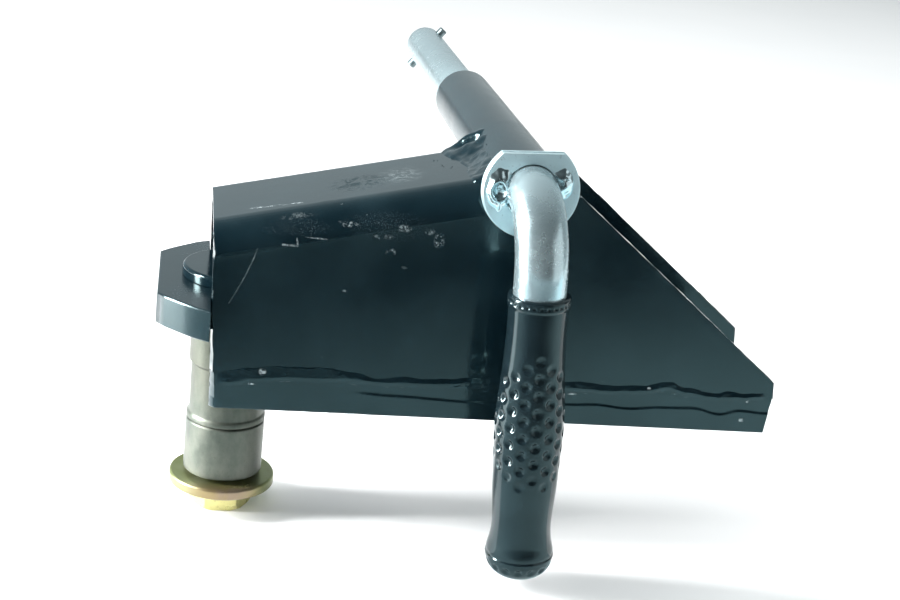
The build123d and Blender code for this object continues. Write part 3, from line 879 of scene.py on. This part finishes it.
def flange_toe():
    """Low irregular weld toe round the rest of the joint between tube and flange."""
    stations, around = 70, 10
    rings = []
    for i in range(stations + 1):
        a = math.radians(215 + 110 * i / stations)
        size = 1.2 * (1 + 0.35 * wobble(i * 0.5, 2, 0, 2.2)) * (0.4 + 0.6 * ease(min(i, stations - i) / 6))
        ring = []
        for k in range(around):
            b = 2 * math.pi * k / around
            r = TUBE_R + 0.3 + size * math.cos(b)
            y = FLANGE_FRONT - 0.1 + size * math.sin(b) * 0.9
            ring.append(from_crank((r * math.cos(a), y, r * math.sin(a))))
        rings.append(ring)
    place(loft("flange_weld_toe", rings, sharp=75), "crank", "bright_zinc", (WELD_ZINC,))


def grip_radius(s):
    """Grip radius s millimetres down the leg, by a smooth curve through the profile."""
    points = GRIP_PROFILE
    for i in range(len(points) - 1):
        if s <= points[i + 1][0]:
            break
    (s0, r0), (s1, r1) = points[i], points[i + 1]
    before, after = points[max(i - 1, 0)], points[min(i + 2, len(points) - 1)]
    h = s1 - s0
    m0 = (r1 - before[1]) / (s1 - before[0]) * h
    m1 = (after[1] - r0) / (after[0] - s0) * h
    t = (s - s0) / h
    return ((2 * t ** 3 - 3 * t ** 2 + 1) * r0 + (t ** 3 - 2 * t ** 2 + t) * m0
            + (3 * t ** 2 - 2 * t ** 3) * r1 + (t ** 3 - t ** 2) * m1)


def dimples():
    """(distance down, turn from the front, radius, depth) of each dimple on the grip."""
    found = []
    step = 2 * math.pi / DIMPLE_COLUMNS
    for k in range(1 - len(DIMPLE_COUNTS), len(DIMPLE_COUNTS)):
        count = DIMPLE_COUNTS[abs(k)]
        for j in range(count):
            s = DIMPLE_TOP + abs(k) * DIMPLE_PITCH / 2 + j * DIMPLE_PITCH
            shallow = 0.6 if j in (0, count - 1) else 1.0
            found.append((s, k * step, 2.35, 1.15 * shallow))
    for k in range(COLLAR_DIMPLES):
        found.append((COLLAR_DIMPLES_AT, (k + 0.5) * 2 * math.pi / COLLAR_DIMPLES, 0.85, 0.55))
    for k in range(DIMPLE_COLUMNS):
        found.append((BULB_DIMPLES_AT, (k + 0.5) * step, 1.9, 1.0))
    return found


def grip():
    """Moulded grip: dimpled collar, hexagonally staggered dimples, waist, grooved bulb end."""
    sides = 180
    bulb = 148.0                           # finer stations from here on
    places = [GRIP_START - 1 + 0.1 * k for k in range(10)]
    s = GRIP_START
    while s < GRIP_TIP - 0.05:
        places.append(s)
        s += 0.5 if s < bulb else 0.26
    places.append(GRIP_TIP)
    stations = list(COLLAR)
    for s in places:
        groove = 0.16 * hump(s, RIDGE_AT, 0.5) - 0.50 * hump(s, GROOVE_AT, 0.42)
        stations.append((s, grip_radius(max(s, GRIP_START)) + groove))
    holes = dimples()
    rings = []
    for s, radius in stations:
        near = [h for h in holes if abs(h[0] - s) < h[2]]
        ring = []
        for k in range(sides):
            a = 2 * math.pi * k / sides
            r = radius
            for at, turn, size, depth in near:
                gap = (a - turn + math.pi) % (2 * math.pi) - math.pi
                d = math.hypot(gap * radius, s - at) / size
                if d < 1:
                    r -= depth * (1 - d * d) ** 1.2
            ring.append(from_crank((r * math.sin(a), LEG_Y - r * math.cos(a), -s)))
        rings.append(ring)
    place(loft("grip_moulded", rings, sharp=70), "crank", "grip_rubber", (RUBBER,), "grip")


# ---------------------------------------------------------------- everything


def build():
    """Every visible piece, in the order that they are made."""
    arm_channel()
    for side in (-1, 1):
        foot_strip(side)
        seam_weld(side)
    web_weld()
    rear_sleeve_weld()
    spatter()
    rounded = (
        # node, body, slot, material, edge rounding
        ("crank_sleeve", "arm", "black_enamel", SLEEVE_ENAMEL, 0.0),
        ("post_head", "arm", "black_enamel", PLAIN_ENAMEL, 0.4),
        ("pivot_post", "arm", "bare_steel", TURNED, 0.25),
        ("lower_bush", "bush", "bare_steel", TURNED, 0.25),
        ("large_washer", "arm", "yellow_zinc", CHROMATE, 0.3),
        ("pivot_bolt", "arm", "yellow_zinc", BOLT, 0.4),
        ("thrust_washer", "flange_plate", "bright_zinc", FLANGE_ZINC, 0.2),
        ("crank_flange", "crank", "bright_zinc", FLANGE_ZINC, 0.35),
        ("cross_pin", "crank", "dark_steel", PIN, 0.25),
    )
    for node, body, slot, material, edge in rounded:
        place(dressed(node, node + "_finished", edge), body, slot, (material, material), node)
    # The plate's sides take material 1, enamel with a painted reflection and painted facet shade.
    plate = dressed("pivot_plate", "pivot_plate_finished", edge=0.5,
                    cut_face=lambda middle, normal: abs(normal.z) < 0.5)
    place(plate, "arm", "black_enamel", (PLATE_ENAMEL, DRAGGED_PAINTED_LIGHT), "pivot_plate")
    crank_tube()
    flange_blob(-1, (-12.8, 0.6), (5.8, 8.9), 2.5, 2.3)
    flange_blob(1, (12.4, 3.0), (4.7, 7.0), 2.5, 0.0)
    flange_toe()
    grip()


# ---------------------------------------------------------------- stage, lights and camera


def stage_sheet(name, across, deep, height, material):
    """Level rectangle between two places along X and two along Y, in metres."""
    (left, right), (near, far) = across, deep
    points = [(left, near, height), (right, near, height), (right, far, height), (left, far, height)]
    data = bpy.data.meshes.new(name)
    data.from_pydata(points, [], [(0, 1, 2, 3)])
    data.materials.append(material)
    made = bpy.data.objects.new(name, data)
    bpy.context.scene.collection.objects.link(made)
    return made


def stage():
    """Pale floor just under the lowest point of the part; returns its height."""
    floor_z = CAD_BOX[0].z - 0.0001
    reach = (-8.0, 8.0)
    f = Finish("pale_floor")
    pale = f.done(f.mix(f.noise(6, 3), (0.88, 0.89, 0.89), (0.92, 0.925, 0.925)), 0.75)
    stage_sheet("floor", reach, reach, floor_z, pale)
    return floor_z


def soft_box(name, where, target, width, height, power, gloss):
    """Rectangular studio light pointing at the target; gloss says if glossy surfaces reflect it."""
    data = bpy.data.lights.new(name, "AREA")
    data.shape, data.size, data.size_y = "RECTANGLE", width, height
    data.energy = power
    lamp = bpy.data.objects.new(name, data)
    bpy.context.scene.collection.objects.link(lamp)
    lamp.location = where
    lamp.visible_camera = False
    lamp.visible_glossy = gloss
    lamp.rotation_euler = (Vector(target) - Vector(where)).to_track_quat("-Z", "Y").to_euler()


def reflection_card(name, height):
    """Glowing card over the floor in front of the part, which only reflections see.

    It is bright near the part, brighter to the right, then dark, and grey at its far side."""
    f = Finish(name, Emission_Strength=1.0, Base_Color=(0, 0, 0, 1), Roughness=1.0)
    out = f.calc("ADD", f.axis(1), f.times(f.ramp(f.axis(0), 0.35, -0.10), -0.13))
    near_tone = f.mix(f.ramp(f.axis(0), 0.06, 0.34), (0.86, 1.08, 1.13), (1.16, 1.46, 1.52))
    far_tone = f.mix(f.ramp(out, -0.50, -0.62), (0.03, 0.05, 0.06), (0.25, 0.33, 0.35))
    f.feed(f.shader.inputs["Emission Color"], f.mix(f.ramp(out, -0.20, -0.48), near_tone, far_tone))
    card = stage_sheet(name, (-1.6, 1.6), (-1.8, -0.06), height, f.material)
    card.visible_camera = card.visible_diffuse = card.visible_shadow = False
    card.visible_transmission = card.visible_volume_scatter = False


def sky():
    """Pale studio: bright behind the part, dim behind the camera, and plain pale to the camera itself."""
    falloff, bright, dim, seen = 2.2, 0.74, 0.06, 0.95
    world = bpy.data.worlds.new("studio")
    bpy.context.scene.world = world
    world.use_nodes = True
    tree = world.node_tree
    background = tree.nodes["Background"]
    background.inputs[0].default_value = (0.86, 0.97, 1.0, 1.0)
    split = tree.nodes.new("ShaderNodeSeparateXYZ")
    tree.links.new(tree.nodes.new("ShaderNodeTexCoord").outputs["Generated"], split.inputs[0])
    depth = tree.nodes.new("ShaderNodeMapRange")
    for socket, value in zip(list(depth.inputs)[1:5], (-1.0, 1.0, 0.0, 1.0)):
        socket.default_value = value
    tree.links.new(split.outputs["Y"], depth.inputs["Value"])
    curve = tree.nodes.new("ShaderNodeMath")
    curve.operation = "POWER"
    tree.links.new(depth.outputs[0], curve.inputs[0])
    curve.inputs[1].default_value = falloff
    lift = tree.nodes.new("ShaderNodeMath")
    lift.operation = "MULTIPLY_ADD"
    tree.links.new(curve.outputs[0], lift.inputs[0])
    lift.inputs[1].default_value = bright
    lift.inputs[2].default_value = dim
    chosen = tree.nodes.new("ShaderNodeMix")
    tree.links.new(tree.nodes.new("ShaderNodeLightPath").outputs["Is Camera Ray"], chosen.inputs["Factor"])
    tree.links.new(lift.outputs[0], chosen.inputs[2])
    chosen.inputs[3].default_value = seen
    tree.links.new(chosen.outputs[0], background.inputs[1])


def lights(floor_z):
    """Sky, soft boxes round the part and the card that its front reflects."""
    sky()
    middle = (0.11, -0.02, 0.0)
    boxes = (
        # name, place, target, width, height, watts, seen by glossy surfaces
        ("left_strip", (-0.85, 0.0, 0.20), middle, 0.19, 1.0, 62.0, True),
        ("left_wide", (-1.0, 0.02, 0.25), middle, 0.9, 1.0, 1.8, True),
        ("left_low", (-0.36, -0.10, -0.05), (-0.03, -0.04, 0.0), 0.34, 0.07, 0.16, True),
        ("right_wide", (0.98, -0.50, 0.30), middle, 0.9, 0.9, 1.9, True),
        ("overhead", (0.10, 0.9, 2.2), (0.1, 0.9, 0.0), 3.2, 2.4, 62.0, False),
        ("front_fill", (-0.1, -1.2, 0.6), middle, 0.8, 0.8, 7.0, False),
    )
    for box in boxes:
        soft_box(*box)
    reflection_card("front_card", floor_z + 0.002)


def camera():
    """Camera in front of the part, above it and a little left of the pivot, looking along +Y."""
    data = bpy.data.cameras.new("camera")
    data.lens, data.sensor_width = 63.21, 36.0
    data.clip_start, data.clip_end = 0.01, 50.0
    made = bpy.data.objects.new("camera", data)
    bpy.context.scene.collection.objects.link(made)
    # The camera's own axes and its place, in the row frame
    right = Vector((0.98307, -0.14648, 0.11005))
    down = Vector((0.05628, -0.33020, -0.94223))
    forward = Vector((0.17435, 0.93248, -0.31637))
    spot = Vector((-0.02702, -0.64667, 0.22705))
    turn = Matrix((right, -down, -forward)).transposed().to_4x4()
    made.matrix_world = Matrix.Translation(spot) @ turn
    bpy.context.scene.camera = made


build()
lights(stage())
camera()
bpy.context.scene.view_settings.view_transform = "Standard"
